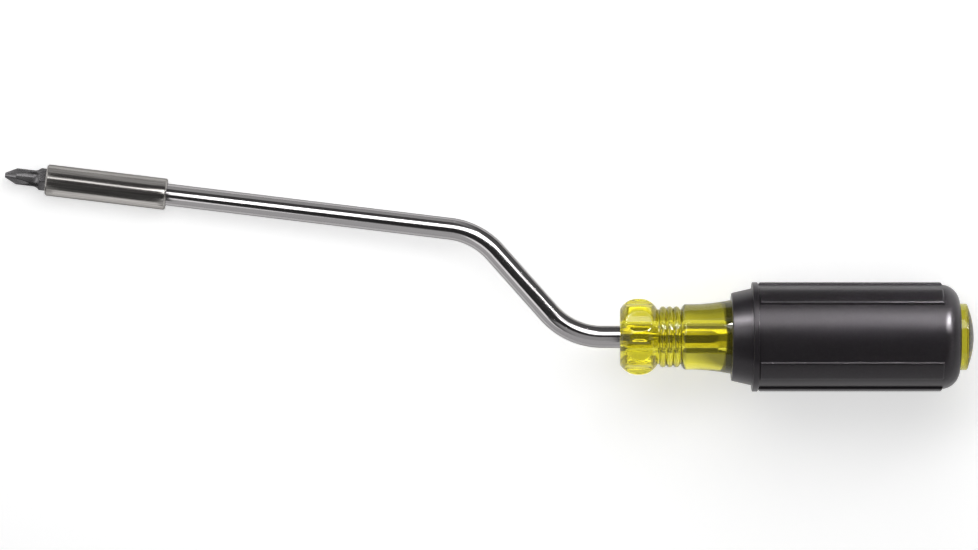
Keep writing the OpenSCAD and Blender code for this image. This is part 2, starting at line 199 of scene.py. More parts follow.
class GripSettings(bpy.types.PropertyGroup):
    """Soft sleeve round the handle's core."""

    collar_front_d: length("Collar front", "Diameter of the collar's front edge", 27.1)
    collar_rear_d: length("Collar rear", "Diameter of the collar where it meets the band", 30)
    collar_len: length("Collar length", "Length of the tapered collar", 6.35)
    band_w: length("Band width", "Width of the raised band in front of the pads", 1.7)
    band_step: length("Band step", "Height of the band above the pads", 0.05)
    panel_d: length("Panel diameter", "Diameter of the plain panels", 32.2)
    pad_height: length("Pad height", "Height of the pads above the panels", 0.72)
    pad_places: count("Pad places", "Evenly spaced places round the grip", 8)
    plain_every: count("Plain every", "Every so many places carry no pad", 4)
    pad_width: angle("Pad width", "Angle that one pad spans", 24)
    pad_overrun: length("Pad overrun", "How far the pads run past the straight panels", 0.3)
    pad_gap: length("Pad gap", "Groove between the band and the pads", 0.3)
    panel_turn: angle("Panel turn", "Turn of the panels about the handle", 5.6)
    pad_round: length("Pad rounding", "Rounding of the pads' rims", 0.6)
    edge_round: length("Edge rounding", "Rounding of the collar's front edge", 0.3)
    band_round: length("Band rounding", "Rounding of the band's edges", 0.18)
    dark: tint("Dark", "Darker shade of the elastomer", (0.0105, 0.0092, 0.0108))
    light: tint("Light", "Lighter shade of the elastomer", (0.0155, 0.0138, 0.016))


class ShankSettings(bpy.types.PropertyGroup):
    """Bent rod from the end bearing to the bit holder."""

    shank_d: length("Shank diameter", "Diameter of the rod", 6.8)
    lead: length("Lead", "Distance from the handle's front to the first bend's corner", 15.3)
    crank_angle: angle("Crank angle", "Slope of the crank against the handle's axis", 48.4)
    crank_len: length("Crank length", "Distance from corner to corner", 43.2)
    bend_r: length("Bend radius", "Radius of the rod's middle line in a bend", 22)
    holder_seat: length("Holder seat", "Length of the rod inside the bit holder", 10.8)
    chamfer: length("Chamfer", "Chamfer at the rod's ends", 0.5)
    groove_depth: length("Groove depth", "Depth of the retaining ring's groove", 0.8)
    plate: tint("Plate", "Reflection colour of the plating", (0.46, 0.445, 0.45))


class HolderSettings(bpy.types.PropertyGroup):
    """Turned sleeve that takes the bit."""

    hex_af: length("Hexagon", "Size across the flats of the bit's hexagon", 6.35)
    hex_play: length("Hexagon play", "Room round the hexagon", 0.05)
    hex_turn: angle("Hexagon turn", "Turn of the hexagon about the front axis", 19)
    socket_depth: length("Socket depth", "Depth of the hexagon socket", 14.2)
    pocket_d: length("Pocket diameter", "Room behind the socket for the bit's other end", 6.5)
    chamfer: length("Chamfer", "Chamfer of the outer edges", 0.45)
    mouth_chamfer: length("Mouth chamfer", "Chamfer of the socket's mouth", 0.35)
    rear_sink: length("Rear countersink", "Countersink round the rod at the rear", 0.3)
    clip_depth: length("Clip depth", "Distance from the mouth to the clip's groove", 4)
    clip_w: length("Clip width", "Width of the clip's groove", 0.96)
    clip_r: length("Clip radius", "Radius of the clip's groove", 4.186)
    edge_round: length("Edge rounding", "Rounding of the turned edges", 0.08)
    dark: tint("Dark", "Darker shade of the brushed steel", (0.29, 0.275, 0.265))
    light: tint("Light", "Lighter shade of the brushed steel", (0.48, 0.465, 0.445))


class BitSettings(bpy.types.PropertyGroup):
    """Reversible bit with a cross tip and a flat tip."""

    corner_d: length("Corner diameter", "Diameter that the hexagon's corners are turned to", 7.152)
    hex_len: length("Hexagon length", "Length of the hexagon", 16)
    hex_chamfer: length("Hexagon chamfer", "Chamfer at the hexagon's rear end", 0.5)
    cross_len: length("Cross length", "Length of the cross tip", 10.9)
    neck_d: length("Neck diameter", "Diameter of the cross tip's neck", 5)
    point_d: length("Point diameter", "Diameter of the blunt point", 1.5)
    cross_half_angle: angle("Cone half angle", "Half angle of the cross tip's cone", 26.5)
    neck_fillet: length("Neck fillet", "Fillet between the neck and the hexagon", 2.6)
    flute_count: count("Flutes", "Flutes of the cross tip", 4)
    flute_root: length("Flute root", "Distance from the axis to a flute's root at the point", 0.62)
    flute_wheel_r: length("Flute run-out", "Radius that a flute's root runs out with", 17)
    flute_angle: angle("Flute angle", "Angle between a flute's two sides", 92)
    flute_turn: angle("Flute turn", "Turn of the flutes about the front axis", 48)
    edge_round: length("Edge rounding", "Width of the softened edges of the flutes", 0.2)
    blade_len: length("Blade length", "Length of the flat tip", 11.5)
    blade_w: length("Blade width", "Width of the flat tip", 6)
    blade_t: length("Blade thickness", "Thickness of the flat tip's edge", 1)
    blade_half_angle: angle("Blade half angle", "Half angle between the flat tip's faces", 14)
    dark: tint("Dark", "Darker shade of the phosphate", (0.16, 0.155, 0.16))
    light: tint("Light", "Lighter shade of the phosphate", (0.18, 0.175, 0.18))


class StageSettings(bpy.types.PropertyGroup):
    """Floor, light and camera."""

    floor: tint("Floor", "Colour of the floor", (0.9, 0.9, 0.9))
    floor_glow: amount("Floor glow", "Light that lifts the seen and mirrored floor to white", 0.25)
    floor_lift: amount("Floor lift", "Further light on the floor that the camera sees", 0.12)
    bounces: count("Bounces", "How often light may turn back inside the clear plastic", 12)
    key: amount("Key light", "Brightness of the soft box over the tool", 4.4)
    key_height: length("Key height", "Height of the soft box over the bend plane", 300)
    bit_box: amount("Bit light", "Brightness of the soft box over the bit and its holder", 2.4)
    fill: amount("Fill light", "Brightness of the wide box that evens the floor", 0.35)
    fill_height: length("Fill height", "Height of the wide box over the bend plane", 600)
    front_box: amount("Front light", "Brightness of the soft box beyond the bit", 40)
    rear_box: amount("Rear light", "Brightness of the soft box beyond the butt", 160)
    edge: amount("Edge light", "Brightness of the strip beside the crank", 1.4)
    card: amount("Card light", "Brightness of the dark cards that the tool mirrors", 0.06)
    rod_card: amount("Rod card light", "Brightness of the grey card beside the rod", 0.5)
    bend_card: amount("Bend card light", "Brightness of the cards beside the bends", 0.13)
    bit_sky: amount("Bit sky", "Brightness of the card over the bit, well ahead of it", 1.6)
    bit_shade: amount("Bit shade", "Brightness of that card straight over the bit", 0.35)
    bit_side: amount("Bit side", "Brightness of the card beside the bit's upper flat", 1.6)
    sleeve_fill: amount("Sleeve fill", "Brightness of the pale card beside the holder", 1.1)
    butt_card: amount("Butt card light", "Brightness of the card that the cap mirrors", 0.5)
    waist_shade: amount("Waist shade", "Dark side of the graded card under the waist", 0.27)
    waist_glow: amount("Waist glow", "Pale side of the graded card under the waist", 1)
    waist_lean: amount("Waist lean", "Slope of that card's grading along the handle", 0.085)
    waist_wall: amount("Waist wall", "Brightness of the card on the waist's crank side", 0.4)
    waist_stripe: amount("Waist stripe", "Brightness of the box over the waist", 3.6)
    waist_sheen: amount("Waist sheen", "Brightness of the card beside that box", 1.5)
    waist_far_wall: amount("Waist far wall", "Brightness of the card on the waist's far side", 2)
    cap_shade: amount("Cap shade", "Brightness of the card under the cap", 0.5)
    tent: amount("Tent light", "Brightness of the studio's pale walls", 0.6)
    clear_wall: amount("Clear wall light", "Brightness of the walls through clear plastic", 1.2)
    clear_ceiling: amount("Clear ceiling", "Brightness of the ceiling through clear plastic", 0.38)
    far_wall: amount("Far wall light", "Brightness of the wall behind the soft box", 0.15)
    ceiling: amount("Ceiling light", "Brightness of the studio's ceiling", 0.04)
    ceiling_lean: angle("Ceiling lean", "Lean of the dark ceiling to the crank's side", 10)
    camera_distance: length("Camera distance", "Distance from the camera to the tool", 1800)
    frame_width: length("Frame width", "Width that the picture takes in at the tool", 301.2)
    aim_along: length("Aim along", "Middle of the picture along the handle's axis", -40.28)
    aim_aside: length("Aim aside", "Middle of the picture on the crank's side", 19.05)


def settings_of(group):
    """Settings of one part of the tool on the current scene."""
    return getattr(bpy.context.scene, group)


# Modelling


def arc(centre, radius, start, end, steps):
    """Points (radius, height) of an arc, from one angle in degrees to another."""
    turns = [math.radians(start + (end - start) * i / steps) for i in range(steps + 1)]
    return [(centre[0] + radius * math.cos(t), centre[1] + radius * math.sin(t)) for t in turns]


def turned(profile, steps, rounds=(), closed=True):
    """Turns a profile of (radius, height) points about Z; rounds holds (point number, radius)."""
    bm = bmesh.new()
    verts = [bm.verts.new((radius, 0, height)) for radius, height in profile]
    ends = verts[1:] + verts[:1] if closed else verts[1:]
    for pair in zip(verts, ends):
        bm.edges.new(pair)
    for number, radius in rounds:
        bmesh.ops.bevel(
            bm, geom=[verts[number]], offset=radius, offset_type="OFFSET", segments=4,
            profile=0.5, affect="VERTICES", material=-1,
        )
    bmesh.ops.spin(
        bm, geom=bm.verts[:] + bm.edges[:], cent=(0, 0, 0), axis=(0, 0, 1), angle=FULL_TURN,
        steps=steps, use_merge=True,
    )
    bmesh.ops.remove_doubles(bm, verts=bm.verts, dist=WELD)
    bmesh.ops.recalc_face_normals(bm, faces=bm.faces)
    return bm


def move_radially(bm, rule):
    """Gives each point off the axis the radius that rule(radius, angle, height) returns."""
    for vert in bm.verts:
        radius = math.hypot(vert.co.x, vert.co.y)
        if radius > WELD:
            reach = rule(radius, math.atan2(vert.co.y, vert.co.x), vert.co.z)
            vert.co.xy *= reach / radius


def off_centre(turn, pitch):
    """Angle from the nearest of the places at whole pitches."""
    return turn - pitch * round(turn / pitch)


def hexagon_reach(across_flats, turn):
    """Distance from the middle of a hexagon with a corner at angle 0 to its edge."""
    return across_flats / 2 / math.cos(off_centre(turn - HEX_TURN / 2, HEX_TURN))


def wheel_reach(distance, radius, turn):
    """Distance from the axis to the near side of a cylinder beside it, or infinity past its edge."""
    room = radius ** 2 - (distance * math.sin(turn)) ** 2
    return distance * math.cos(turn) - math.sqrt(room) if room > 0 else math.inf


def soft_least(a, b, width):
    """The lesser of two lengths, with the corner where they meet rounded off."""
    if abs(a - b) >= width:
        return min(a, b)
    return min(a, b) - (width - abs(a - b)) ** 2 / (4 * width)


def turn_about_axis(bm, turn):
    """Turns the whole shape about Z."""
    bmesh.ops.rotate(bm, cent=(0, 0, 0), matrix=Matrix.Rotation(turn, 3, "Z"), verts=bm.verts)


def add_piece(name, bm, place, material, body, node, sharp=35):
    """Turns a bmesh into a finished piece for a CAD node; sharp is an edge angle in degrees."""
    bmesh.ops.transform(bm, matrix=place, verts=bm.verts)
    mesh = bpy.data.meshes.new(name)
    bm.to_mesh(mesh)
    bm.free()
    mesh.shade_smooth()
    mesh.set_sharp_from_angle(angle=math.radians(sharp))
    mesh.materials.append(material)
    piece = bpy.data.objects.new(name, mesh)
    bpy.context.scene.collection.objects.link(piece)
    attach(piece, body)
    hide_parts(node)
    return piece


def barrel_radius(core):
    """Radius that the waist's hollow curve has reached where the grip starts."""
    run = GRIP_AT - waist_place(core) - core.waist_low
    return core.waist_d / 2 + core.waist_curve_r - math.sqrt(core.waist_curve_r ** 2 - run ** 2)


def ball_end(core):
    """Place where the ball meets the neck."""
    drop = core.neck_d / 2 - core.ball_d / 2 + core.ball_round
    return core.crown_at + core.crown_len + math.sqrt(core.ball_round ** 2 - drop ** 2)


def waist_place(core):
    """Place where the waist starts."""
    rings = core.ring_start + (core.ring_count - 1) * core.ring_pitch
    return ball_end(core) + rings + core.waist_start


def key_rule(core, outermost):
    """Rule that cuts the keying flutes into whatever lies within the given radius."""
    barrel = barrel_radius(core)
    start = GRIP_AT + core.key_start
    pitch = FULL_TURN / core.key_count
    distance = barrel - core.key_depth + core.key_r

    def rule(radius, turn, height):
        if height < start or radius > outermost:
            return radius
        return min(radius, wheel_reach(distance, core.key_r, off_centre(turn, pitch)))

    return rule


def core_profile(core, bore_r):
    """Outline of the core from the bore's front edge round the outside and back through the bore."""
    ball_edge = core.ball_d / 2 - core.ball_round
    crown_end = core.crown_at + core.crown_len
    front = math.degrees(math.asin(core.crown_at / core.ball_round))
    rear = math.degrees(math.acos((core.neck_d / 2 - ball_edge) / core.ball_round))
    points = [(bore_r, 0)]
    points += arc((ball_edge, core.crown_at), core.ball_round, -front, 0, steps=44)
    points += arc((ball_edge, crown_end), core.ball_round, 0, rear, steps=44)

    ring_middle = core.ring_d / 2 - core.ring_r
    valley = math.degrees(math.asin(core.ring_pitch / 2 / core.ring_r))
    foot = math.degrees(math.acos((core.neck_d / 2 - ring_middle) / core.ring_r))
    for i in range(core.ring_count):
        at = ball_end(core) + core.ring_start + i * core.ring_pitch
        low = foot if i == 0 else valley
        high = foot if i == core.ring_count - 1 else valley
        points += arc((ring_middle, at), core.ring_r, -low, high, steps=16)

    waist_at = waist_place(core)
    curve_middle = (core.waist_d / 2 + core.waist_curve_r, waist_at + core.waist_low)
    low = math.degrees(math.asin((core.waist_chamfer - core.waist_low) / core.waist_curve_r))
    high = math.degrees(math.asin((GRIP_AT - curve_middle[1]) / core.waist_curve_r))
    points += [(core.neck_d / 2, waist_at), (core.waist_d / 2 - core.waist_chamfer, waist_at)]
    points += arc(curve_middle, core.waist_curve_r, 180 - low, 180 - high, steps=24)

    barrel = barrel_radius(core) - SKIN_GAP
    key_at = GRIP_AT + core.key_start
    shoulder = GRIP_END - core.rear_lip
    tail = core.butt_d / 2 - SKIN_GAP
    hollow = core.hollow_d / 2
    points += [(barrel, GRIP_AT), (barrel, key_at - SKIN_GAP), (barrel, key_at + SKIN_GAP)]
    points += [(barrel, shoulder), (tail, shoulder), (tail, GRIP_END), (hollow, GRIP_END)]
    points += [(hollow, HOLLOW_AT - SKIN_GAP), (bore_r, HOLLOW_AT - SKIN_GAP)]
    return points


def clear_core(core, shank):
    """Core with its scalloped ball, ringed neck and flared waist."""
    bore_r = shank.shank_d / 2 + core.bore_play
    bm = turned(core_profile(core, bore_r), steps=360)
    pitch = FULL_TURN / core.scallop_count
    first = math.pi / 2 - core.scallop_turn + pitch / 2
    distance = core.ball_d / 2 - core.scallop_depth + core.scallop_r
    neck_at = ball_end(core)

    def scoop(radius, turn, height):
        if height > neck_at:
            return radius
        cut = wheel_reach(distance, core.scallop_r, off_centre(turn - first, pitch))
        return soft_least(radius, cut, core.scallop_edge)

    move_radially(bm, scoop)
    move_radially(bm, key_rule(core, core.ball_d / 2))
    return bm


def domed_cap(core):
    """Cap with a spigot that closes the hollow behind the end bearing."""
    butt_r = core.butt_d / 2
    side_end = GRIP_END + core.butt_h
    dome_h = BUTT_END - side_end
    dome_r = (butt_r ** 2 + dome_h ** 2) / (2 * dome_h)
    slope = math.degrees(math.asin(butt_r / dome_r))
    spigot_r = core.hollow_d / 2 - core.cement_play
    points = [(0, SPIGOT_AT + SKIN_GAP), (spigot_r, SPIGOT_AT + SKIN_GAP)]
    points += [(spigot_r, GRIP_END + SKIN_GAP), (butt_r, GRIP_END + SKIN_GAP)]
    rim = len(points)
    points += arc((0, BUTT_END - dome_r), dome_r, 90 - slope, 90, steps=24)
    points[-1] = (0, BUTT_END)
    return turned(points, steps=180, rounds=[(rim, core.edge_round)], closed=False)


def pad_faces(bm, grip, start, end, panel_r):
    """Faces of the grip's outside that carry the pads, with pad places at whole pitches."""
    pitch = FULL_TURN / grip.pad_places
    found = []
    for face in bm.faces:
        middle = face.calc_center_median()
        if not start < middle.z < end or math.hypot(middle.x, middle.y) < panel_r - grip.pad_height:
            continue
        turn = math.atan2(middle.y, middle.x)
        place = round(turn / pitch) % grip.pad_places
        if place % grip.plain_every and abs(off_centre(turn, pitch)) < grip.pad_width / 2:
            found.append(face)
    return found


def padded_sleeve(grip, core):
    """Sleeve with a tapered collar, a band, six pads, two plain panels and a round rear end."""
    bore_r = barrel_radius(core)
    butt_r = core.butt_d / 2
    panel_r = grip.panel_d / 2
    pad_r = panel_r + grip.pad_height
    band_r = pad_r + grip.band_step
    rear_round = panel_r - butt_r
    band_at = GRIP_AT + grip.collar_len
    pads_at = band_at + grip.band_w
    rear_at = GRIP_END - rear_round
    pads_end = rear_at + grip.pad_overrun
    shoulder = GRIP_END - core.rear_lip
    key_at = GRIP_AT + core.key_start
    end_slope = math.degrees(math.asin(grip.pad_overrun / rear_round))

    points = [(bore_r, GRIP_AT), (grip.collar_front_d / 2, GRIP_AT)]
    points += [(grip.collar_rear_d / 2, band_at), (band_r, band_at), (band_r, pads_at)]
    points += [(panel_r, pads_at), (panel_r, pads_at + grip.pad_gap)]
    points += arc((butt_r, rear_at), rear_round, end_slope, 90, steps=20)
    points += [(butt_r, shoulder), (bore_r, shoulder)]
    points += [(bore_r, key_at + SKIN_GAP), (bore_r, key_at - SKIN_GAP)]
    collar_edge, band_front, band_rear = 1, 3, 4
    rounds = [(collar_edge, grip.edge_round)]
    rounds += [(band_front, grip.band_round), (band_rear, grip.band_round)]
    bm = turned(points, steps=120, rounds=rounds)

    raised = pad_faces(bm, grip, pads_at + grip.pad_gap, pads_end, panel_r)
    made = bmesh.ops.extrude_face_region(bm, geom=raised)["geom"]
    bmesh.ops.delete(bm, geom=raised, context="FACES")
    tops = {item for item in made if isinstance(item, bmesh.types.BMFace)}
    for vert in {vert for face in tops for vert in face.verts}:
        vert.co.xy *= pad_r / math.hypot(vert.co.x, vert.co.y)
    rims = [
        edge for face in tops for edge in face.edges
        if any(other not in tops for other in edge.link_faces)
    ]
    bmesh.ops.bevel(
        bm, geom=rims, offset=grip.pad_round, offset_type="OFFSET", segments=4, profile=0.5,
        affect="EDGES", clamp_overlap=True, material=-1,
    )
    turn_about_axis(bm, math.pi / 2 - grip.panel_turn)
    move_radially(bm, key_rule(core, bore_r + WELD))
    bmesh.ops.recalc_face_normals(bm, faces=bm.faces)
    return bm


class RodSweep:
    """Round rod drawn along a path in the XZ plane, starting down Z from a given height."""

    def __init__(self, height, radius, segments):
        self.bm = bmesh.new()
        self.place = Vector((0, 0, height))
        self.along = Vector((0, 0, -1))
        self.radius = radius
        bmesh.ops.create_circle(
            self.bm, cap_ends=True, segments=segments, radius=radius,
            matrix=Matrix.Translation(self.place),
        )
        self.ring = self.bm.verts[:] + self.bm.edges[:]

    def straight(self, run, radius=None):
        """Draws the rod on by a run, to a new radius if one is given."""
        step = run * self.along
        self.ring = bmesh.ops.spin(
            self.bm, geom=self.ring, cent=self.place, axis=self.along, dvec=step, angle=0, steps=1
        )["geom_last"]
        self.place = self.place + step
        if radius is not None:
            verts = [item for item in self.ring if isinstance(item, bmesh.types.BMVert)]
            bmesh.ops.scale(
                self.bm, vec=[radius / self.radius] * 3, verts=verts,
                space=Matrix.Translation(-self.place),
            )
            self.radius = radius

    def bend(self, bend_r, turn, steps):
        """Bends the rod about Y; a turn below zero leads towards +X."""
        inward = Vector((-self.along.z, 0, self.along.x)) * math.copysign(bend_r, -turn)
        middle = self.place + inward
        self.ring = bmesh.ops.spin(
            self.bm, geom=self.ring, cent=middle, axis=(0, 1, 0), angle=turn, steps=steps
        )["geom_last"]
        rotation = Matrix.Rotation(turn, 3, "Y")
        self.place = middle + rotation @ (self.place - middle)
        self.along = rotation @ self.along

    def close(self):
        """Caps the end and returns the rod."""
        edges = [item for item in self.ring if isinstance(item, bmesh.types.BMEdge)]
        bmesh.ops.contextual_create(self.bm, geom=edges)
        bmesh.ops.recalc_face_normals(self.bm, faces=self.bm.faces)
        return self.bm


def bent_rod(shank):
    """Rod from its end behind the retaining ring, round both bends, to its seat in the holder."""
    radius = shank.shank_d / 2
    groove_r = radius - shank.groove_depth
    front_turn = shank.crank_angle - HANDLE_SEAT.to_3x3().col[2].angle(-FRONT_AXIS)
    rear_tangent = shank.bend_r * math.tan(shank.crank_angle / 2)
    front_tangent = shank.bend_r * math.tan(front_turn / 2)
    rod_end = HOLDER_MOUTH - (HOLDER_LEN - shank.holder_seat) * FRONT_AXIS

    rod = RodSweep(SHANK_END, radius - shank.chamfer, segments=72)
    rod.straight(shank.chamfer, radius)
    rod.straight(SHANK_END - shank.chamfer - RETAINER_END)
    rod.straight(0, groove_r)
    rod.straight(RETAINER_END - RETAINER_AT)
    rod.straight(0, radius)
    rod.straight(RETAINER_AT + shank.lead - rear_tangent)
    rod.bend(shank.bend_r, -shank.crank_angle, steps=28)
    rod.straight(shank.crank_len - rear_tangent - front_tangent)
    rod.bend(shank.bend_r, front_turn, steps=28)
    rod.straight((rod_end - HANDLE_SEAT @ rod.place).length - shank.chamfer)
    rod.straight(shank.chamfer, radius - shank.chamfer)
    return rod.close()


def socket_sleeve(holder, shank):
    """Sleeve with a seat for the rod, a pocket and a hexagon socket with a clip groove."""
    hole = holder.hex_af / 2 + holder.hex_play
    mouth_r = hole / math.cos(HEX_TURN / 2)
    rod_r = shank.shank_d / 2 + SKIN_GAP
    socket_at = HOLDER_LEN - holder.socket_depth
    mouth_at = HOLDER_LEN - holder.mouth_chamfer
    clip_end = HOLDER_LEN - holder.clip_depth
    clip_at = clip_end - holder.clip_w
    sink = holder.rear_sink

    points = [(rod_r + sink, 0), (HOLDER_R - holder.chamfer, 0), (HOLDER_R, holder.chamfer)]
    points += [(HOLDER_R, HOLDER_LEN - holder.chamfer), (HOLDER_R - holder.chamfer, HOLDER_LEN)]
    outer_edges = range(1, 5)
    rounds = [(number, holder.edge_round) for number in outer_edges]
    chamfer_rows = 6
    for i in range(chamfer_rows + 1):
        drop = holder.mouth_chamfer * i / chamfer_rows
        points.append((mouth_r - drop, HOLDER_LEN - drop))
    points += [(hole, mouth_at), (hole, clip_end), (holder.clip_r, clip_end)]
    points += [(holder.clip_r, clip_at), (hole, clip_at), (hole, socket_at)]
    points += [(holder.pocket_d / 2, socket_at), (holder.pocket_d / 2, shank.holder_seat)]
    points += [(rod_r, shank.holder_seat), (rod_r, sink)]
    bm = turned(points, steps=144, rounds=rounds)

    def broach(radius, turn, height):
        if height < socket_at - WELD or radius > mouth_r + WELD:
            return radius
        return max(radius, hexagon_reach(2 * hole, turn))

    move_radially(bm, broach)
    turn_about_axis(bm, holder.hex_turn)
    return bm


def bit_profile(bit):
    """Outline of the bit before milling, from the flat tip's edge to the cross tip's point."""
    corner_r = bit.corner_d / 2
    neck_r = bit.neck_d / 2
    point_r = bit.point_d / 2
    hex_end = bit.blade_len + bit.hex_len
    bit_len = hex_end + bit.cross_len
    cone_len = (neck_r - point_r) / math.tan(bit.cross_half_angle)
    fillet_reach = math.degrees(math.acos(1 - (corner_r - neck_r) / bit.neck_fillet))
    fillet_len = bit.neck_fillet * math.sin(math.radians(fillet_reach))

    def run(start, end, rows):
        low, high = Vector(start), Vector(end)
        return [tuple(low.lerp(high, i / rows)) for i in range(rows + 1)]

    blade_r = bit.blade_w / 2
    points = [(0, 0)] + run((blade_r, 0), (blade_r, bit.blade_len), rows=30)
    chamfer_foot = (corner_r - bit.hex_chamfer, bit.blade_len)
    points += run(chamfer_foot, (corner_r, bit.blade_len + bit.hex_chamfer), rows=4)
    points += run((corner_r, hex_end - bit.hex_chamfer), (corner_r, hex_end), rows=4)
    fillet_middle = (neck_r + bit.neck_fillet, hex_end + fillet_len)
    points += arc(fillet_middle, bit.neck_fillet, 180 + fillet_reach, 180, steps=16)
    points += run((neck_r, hex_end + fillet_len), (neck_r, bit_len - cone_len), rows=30)[1:]
    points += run((neck_r, bit_len - cone_len), (point_r, bit_len), rows=40)[1:]
    points += run((point_r, bit_len), (0, bit_len), rows=6)[1:]
    return points


def milled_bit(bit, holder):
    """Bit milled to its hexagon, its four flutes and the two faces of its flat tip."""
    bit_len = bit.blade_len + bit.hex_len + bit.cross_len
    bm = turned(bit_profile(bit), steps=240, closed=False)
    flute_pitch = FULL_TURN / bit.flute_count
    first_flute = bit.flute_turn - holder.hex_turn
    flute_slope = 1 / math.tan(bit.flute_angle / 2)

    def flute_reach(turn, height):
        drop = min(bit_len - height, bit.flute_wheel_r)
        root = bit.flute_root + bit.flute_wheel_r - math.sqrt(bit.flute_wheel_r ** 2 - drop ** 2)
        side = off_centre(turn - first_flute, flute_pitch)
        opening = math.cos(side) - abs(math.sin(side)) * flute_slope
        return root / opening if opening > 0 else math.inf

    def blade_reach(turn, height):
        half = bit.blade_t / 2 + height * math.tan(bit.blade_half_angle)
        return half / max(abs(math.sin(turn)), WELD)

    def mill(radius, turn, height):
        reach = min(radius, hexagon_reach(holder.hex_af, turn))
        if height > bit_len - bit.cross_len:
            reach = soft_least(reach, flute_reach(turn, height), bit.edge_round)
        if height < bit.blade_len:
            reach = min(reach, blade_reach(turn, height))
        return reach

    move_radially(bm, mill)
    turn_about_axis(bm, holder.hex_turn)
    return bm


# Finishes


def node(tree, kind, inputs=None, **values):
    """Adds a shader node; inputs holds socket values or the sockets that feed them."""
    made = tree.nodes.new("ShaderNode" + kind)
    for name, value in values.items():
        setattr(made, name, value)
    for name, value in (inputs or {}).items():
        if isinstance(value, bpy.types.NodeSocket):
            tree.links.new(value, made.inputs[name])
        else:
            made.inputs[name].default_value = value
    return made


def new_finish(name, inputs):
    """New material; inputs are plain values for its surface shader."""
    material = bpy.data.materials.new(name)
    material.use_nodes = True
    tree = material.node_tree
    surface = tree.nodes["Principled BSDF"]
    for socket, value in inputs.items():
        surface.inputs[socket].default_value = value
    return material, tree, surface


def noise(tree, per_metre, detail, stretch=None, turn=None):
    """Noise in the tool's own coordinates, turned and then stretched if a stretch is given."""
    place = node(tree, "TexCoord").outputs["Object"]
    if stretch:
        place = node(tree, "Mapping", {"Vector": place, "Rotation": turn}).outputs["Vector"]
        place = node(tree, "Mapping", {"Vector": place, "Scale": stretch}).outputs["Vector"]
    values = {"Vector": place, "Scale": per_metre, "Detail": detail}
    return node(tree, "TexNoise", values).outputs["Fac"]


def spread(tree, level, low, high, start=0.3, end=0.7):
    """Maps the middle of a noise to a range of values."""
    values = {"Value": level, "From Min": start, "From Max": end, "To Min": low, "To Max": high}
    return node(tree, "MapRange", values).outputs["Result"]


def shade(tree, level, dark, light):
    """Colour between a dark and a light shade."""
    ramp = node(tree, "ValToRGB", {"Fac": spread(tree, level, 0, 1)})
    ramp.color_ramp.elements[0].color = (*dark, 1)
    ramp.color_ramp.elements[1].color = (*light, 1)
    return ramp.outputs["Color"]


def bump(tree, level, height, strength):
    """Bumps of a height, in metres, from a level."""
    values = {"Height": level, "Distance": height, "Strength": strength}
    return node(tree, "Bump", values).outputs["Normal"]


def clear_acetate(core):
    """Clear yellow plastic that deepens with its thickness, with faint moulding waves."""
    inputs = {
        "Base Color": (*core.surface_tint, 1), "Transmission Weight": 0.955, "IOR": 1.48,
    }
    material, tree, surface = new_finish("clear_acetate", inputs)
    haze = spread(tree, noise(tree, per_metre=900, detail=4), low=0.015, high=0.05)
    tree.links.new(haze, surface.inputs["Roughness"])
    waves = bump(tree, noise(tree, per_metre=160, detail=1), height=0.15 * MM, strength=0.15)
    tree.links.new(waves, surface.inputs["Normal"])
    depth = node(
        tree, "VolumeAbsorption", {"Color": (*core.depth_tint, 1), "Density": core.density}
    )
    tree.links.new(depth.outputs["Volume"], tree.nodes["Material Output"].inputs["Volume"])
    return material


def black_elastomer(grip):
    """Satin black elastomer with a fine moulded grain."""
    inputs = {"Specular IOR Level": 0.5, "Specular Tint": (1, 0.94, 1, 1)}
    material, tree, surface = new_finish("black_elastomer", inputs)
    cloudy = noise(tree, per_metre=1200, detail=5)
    tree.links.new(shade(tree, cloudy, grip.dark, grip.light), surface.inputs["Base Color"])
    satin = spread(tree, noise(tree, per_metre=2400, detail=3), low=0.3, high=0.36)
    tree.links.new(satin, surface.inputs["Roughness"])
    grain = bump(tree, noise(tree, per_metre=3600, detail=1), height=0.02 * MM, strength=0.06)
    tree.links.new(grain, surface.inputs["Normal"])
    return material


def bright_plate(shank):
    """Bright plating on drawn rod, with faint polishing haze."""
    inputs = {"Base Color": (*shank.plate, 1), "Metallic": 1, "Specular Tint": GRAZING_TINT}
    material, tree, surface = new_finish("bright_plate", inputs)
    haze = spread(tree, noise(tree, per_metre=700, detail=6), low=0.09, high=0.13)
    tree.links.new(haze, surface.inputs["Roughness"])
    ripple = bump(tree, noise(tree, per_metre=1500, detail=3), height=0.004 * MM, strength=0.1)
    tree.links.new(ripple, surface.inputs["Normal"])
    return material


def brushed_sleeve(holder):
    """Steel brushed along the sleeve, with fine lengthwise streaks."""
    inputs = {"Metallic": 1, "Specular Tint": GRAZING_TINT}
    material, tree, surface = new_finish("brushed_sleeve", inputs)
    turn = HOLDER_SEAT.to_3x3().inverted().to_euler()
    streaks = noise(tree, per_metre=2600, detail=3, stretch=(1, 1, 0.02), turn=turn)
    tree.links.new(shade(tree, streaks, holder.dark, holder.light), surface.inputs["Base Color"])
    tree.links.new(spread(tree, streaks, low=0.13, high=0.22), surface.inputs["Roughness"])
    scratches = bump(tree, streaks, height=0.01 * MM, strength=0.25)
    tree.links.new(scratches, surface.inputs["Normal"])
    return material


def grey_phosphate(bit):
    """Dull grey phosphate on hardened steel."""
    inputs = {"Metallic": 1, "Specular Tint": GRAZING_TINT}
    material, tree, surface = new_finish("grey_phosphate", inputs)
    mottle = noise(tree, per_metre=2000, detail=4)
    tree.links.new(shade(tree, mottle, bit.dark, bit.light), surface.inputs["Base Color"])
    tree.links.new(spread(tree, mottle, low=0.29, high=0.26), surface.inputs["Roughness"])
    return material


